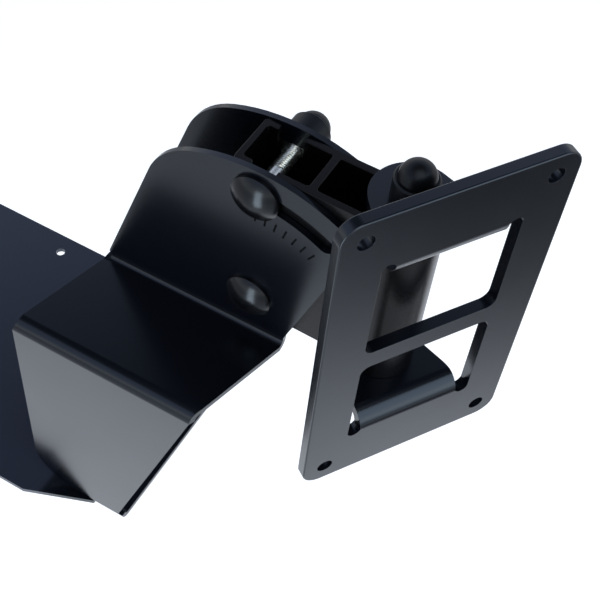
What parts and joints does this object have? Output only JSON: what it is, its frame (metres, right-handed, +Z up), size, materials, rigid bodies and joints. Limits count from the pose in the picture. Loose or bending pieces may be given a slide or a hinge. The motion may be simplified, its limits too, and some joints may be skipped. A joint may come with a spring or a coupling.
{
  "type": "speaker wall bracket",
  "caption": "Wall bracket for a loudspeaker: slotted wall plate, swivelling moulded arm and a folded sheet tray that tilts on curved slots.",
  "frame": {"origin": "middle of the wall plate's wall side", "axes": "+Z up, +Y into the wall, the room and the tray at -Y"},
  "size_m": [0.3139, 0.3703, 0.3334],
  "materials": {
    "powder_coat": "satin",
    "arm_plastic": "matt",
    "cap_plastic": "matt",
    "cover_plastic": "gloss",
    "zinc_steel": "zinc plated"
  },
  "bodies": {
    "wall": {"wall_plate": "powder_coat", "swivel_bolt": "zinc_steel", "swivel_head_cover": "cover_plastic", "swivel_washer": "zinc_steel", "swivel_nut": "zinc_steel", "swivel_nut_cap": "cap_plastic"},
    "arm": {"arm": "arm_plastic", "clamp_bolt": "zinc_steel", "clamp_head_cover": "cover_plastic", "clamp_washer": "zinc_steel", "clamp_nut": "zinc_steel", "clamp_nut_cap": "cap_plastic"},
    "tray": {"tray": "powder_coat", "pivot_bolt": "zinc_steel", "pivot_head_cover": "cover_plastic", "pivot_washer": "zinc_steel", "pivot_nut": "zinc_steel", "pivot_nut_cap": "cap_plastic"}
  },
  "joints": [
    {"name": "swivel", "type": "hinge", "parent": "wall", "child": "arm", "pos_m": [0, -0.0313, 0], "axis": [0, 0, 1], "range_deg": [-77.8, 12.2]},
    {"name": "tilt", "type": "hinge", "parent": "arm", "child": "tray", "pos_m": [0.03467, -0.0851, -0.035], "axis": [0.8406, 0.5417, 0], "range_deg": [-1.5, 28.5]}
  ]
}
